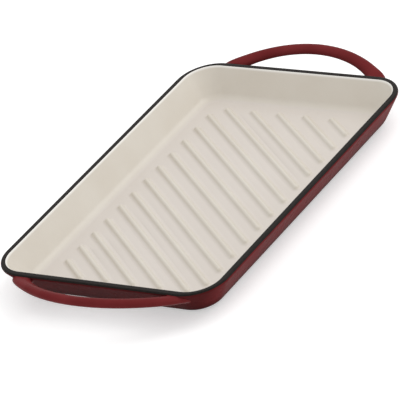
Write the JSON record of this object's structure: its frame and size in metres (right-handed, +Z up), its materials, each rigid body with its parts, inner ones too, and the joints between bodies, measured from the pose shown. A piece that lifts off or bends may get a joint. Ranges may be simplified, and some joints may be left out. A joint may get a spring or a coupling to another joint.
{
  "type": "grill plate",
  "caption": "Shallow rectangular cast-iron grill plate, enamelled, with flared walls, slanting ribs on its floor and a loop handle at each short end.",
  "frame": {"origin": "middle of the underside of the flat base, which the plate stands on", "axes": "+X along the plate from the front handle to the rear handle, +Y across it, +Z up out of the tray"},
  "size_m": [0.4096, 0.2248, 0.0369],
  "materials": {
    "cast_iron": "as cast, under the enamel",
    "cream_enamel": "glossy fired enamel",
    "black_enamel": "satin fired enamel",
    "red_enamel": "glossy fired enamel"
  },
  "bodies": {
    "root": {"tray_casting": "cast_iron", "front_handle_casting": "cast_iron", "rear_handle_casting": "cast_iron", "cooking_enamel": "cream_enamel", "rim_enamel": "black_enamel", "base_enamel": "black_enamel", "wall_enamel": "red_enamel", "front_handle_enamel": "red_enamel", "rear_handle_enamel": "red_enamel"}
  },
  "joints": []
}
